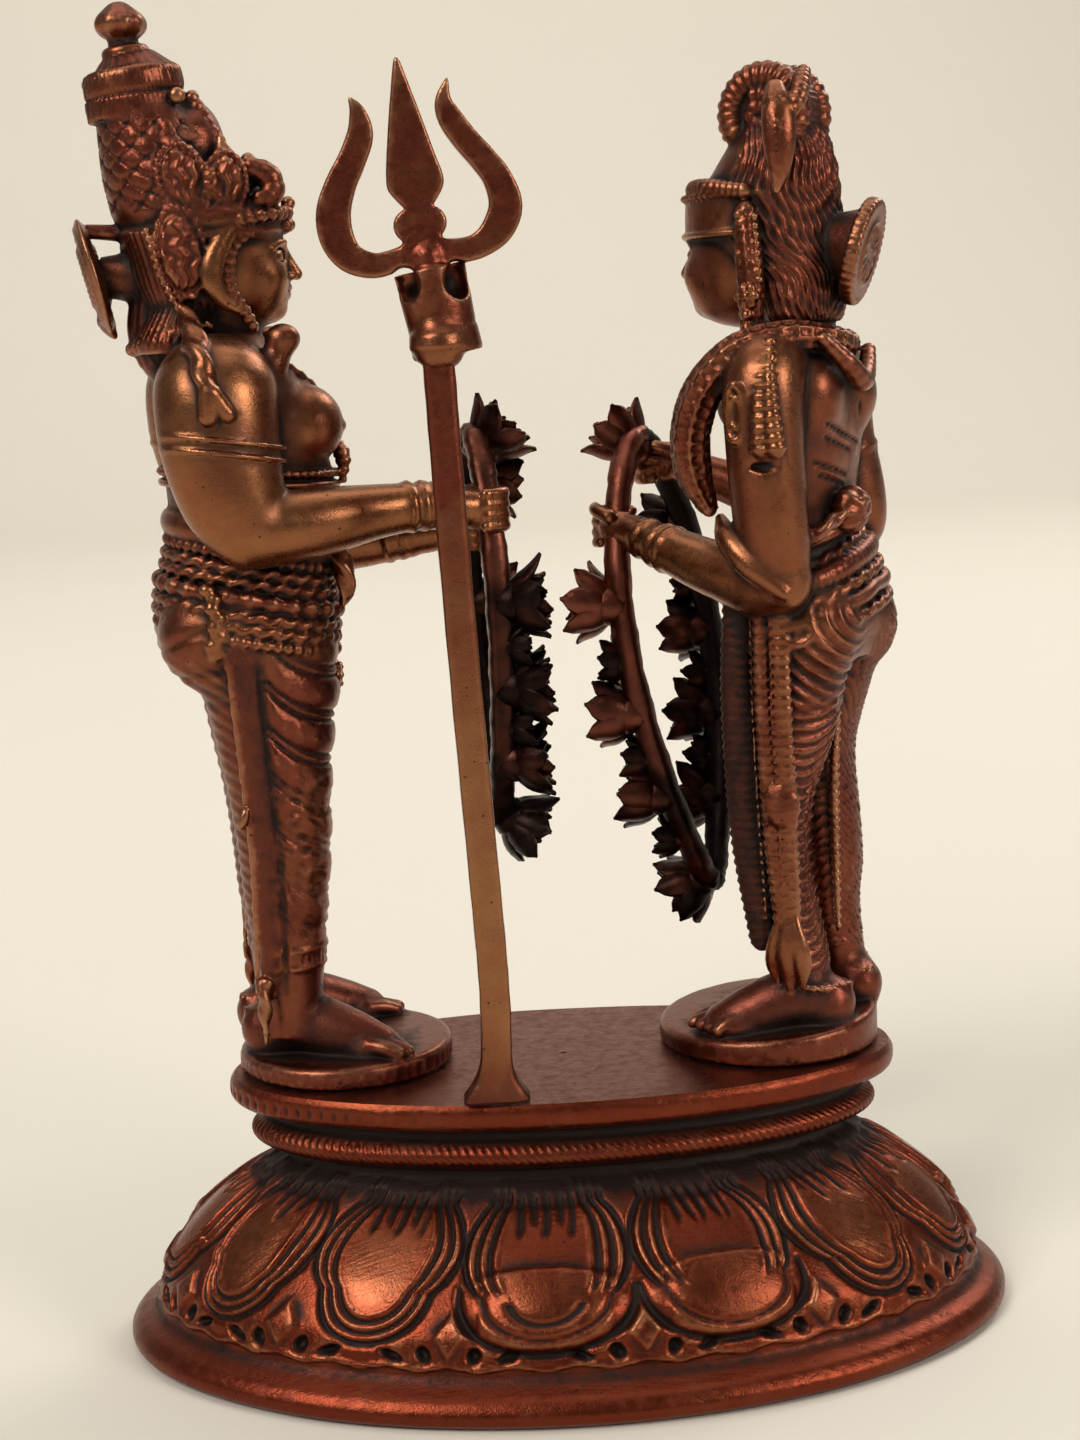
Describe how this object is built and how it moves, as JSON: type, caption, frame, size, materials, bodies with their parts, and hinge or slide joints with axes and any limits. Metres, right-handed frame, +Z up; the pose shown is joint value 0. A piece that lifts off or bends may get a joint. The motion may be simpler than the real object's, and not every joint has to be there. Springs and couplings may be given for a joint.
{
  "type": "figurine",
  "caption": "Cast copper figurine of a divine couple exchanging garlands on an oval lotus base, with a trident and small drum standing at the near edge",
  "frame": {"origin": "centre of the flat underside of the lotus base", "axes": "+X runs along the long axis of the base from the left figure (tall crown) to the right figure (coiled hair), -Y is the side where the trident stands, +Z is up"},
  "size_m": [0.108, 0.0666, 0.1577],
  "materials": {
    "base_copper": "antique copper with dark patina in the recesses",
    "figure_copper": "antique copper with dark patina in the recesses",
    "trident_copper": "smoother worn copper",
    "garland_copper": "darkened copper"
  },
  "bodies": {
    "root": {"lotus_base": "base_copper", "parvati_figure": "figure_copper", "shiva_figure": "figure_copper", "trident": "trident_copper", "parvati_garland": "garland_copper", "shiva_garland": "garland_copper"}
  },
  "joints": []
}
